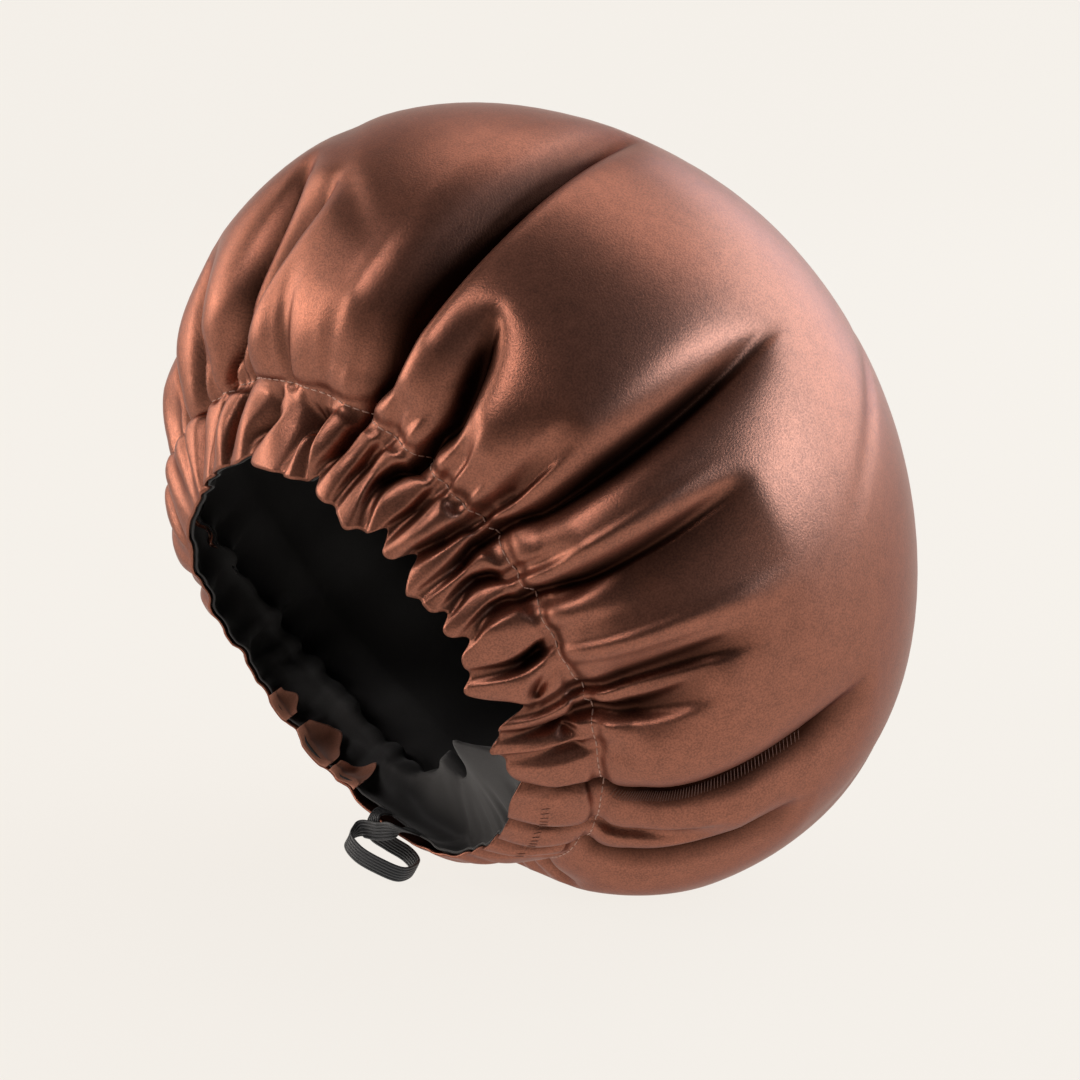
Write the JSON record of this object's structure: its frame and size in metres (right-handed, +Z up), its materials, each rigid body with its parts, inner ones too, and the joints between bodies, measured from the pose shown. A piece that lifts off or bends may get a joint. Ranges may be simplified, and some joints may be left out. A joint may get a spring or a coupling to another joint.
{
  "type": "sleep bonnet",
  "caption": "Full round satin sleep bonnet with a dark lining, a gathered frill round the head opening and a loop of flat elastic at the nape.",
  "frame": {"origin": "middle of the flat patch of the belly that the bonnet rests on", "axes": "+Z up from the resting surface, -Y the way the head opening faces, X across the bonnet"},
  "size_m": [0.3017, 0.2487, 0.2836],
  "materials": {
    "satin": "copper brown polyester satin with a soft sheen",
    "lining_cloth": "black lining cloth with a faint sheen",
    "elastic": "black ribbed woven elastic, matt"
  },
  "bodies": {
    "root": {"outer_shell": "satin", "lining": "lining_cloth", "elastic_loop": "elastic"}
  },
  "joints": []
}
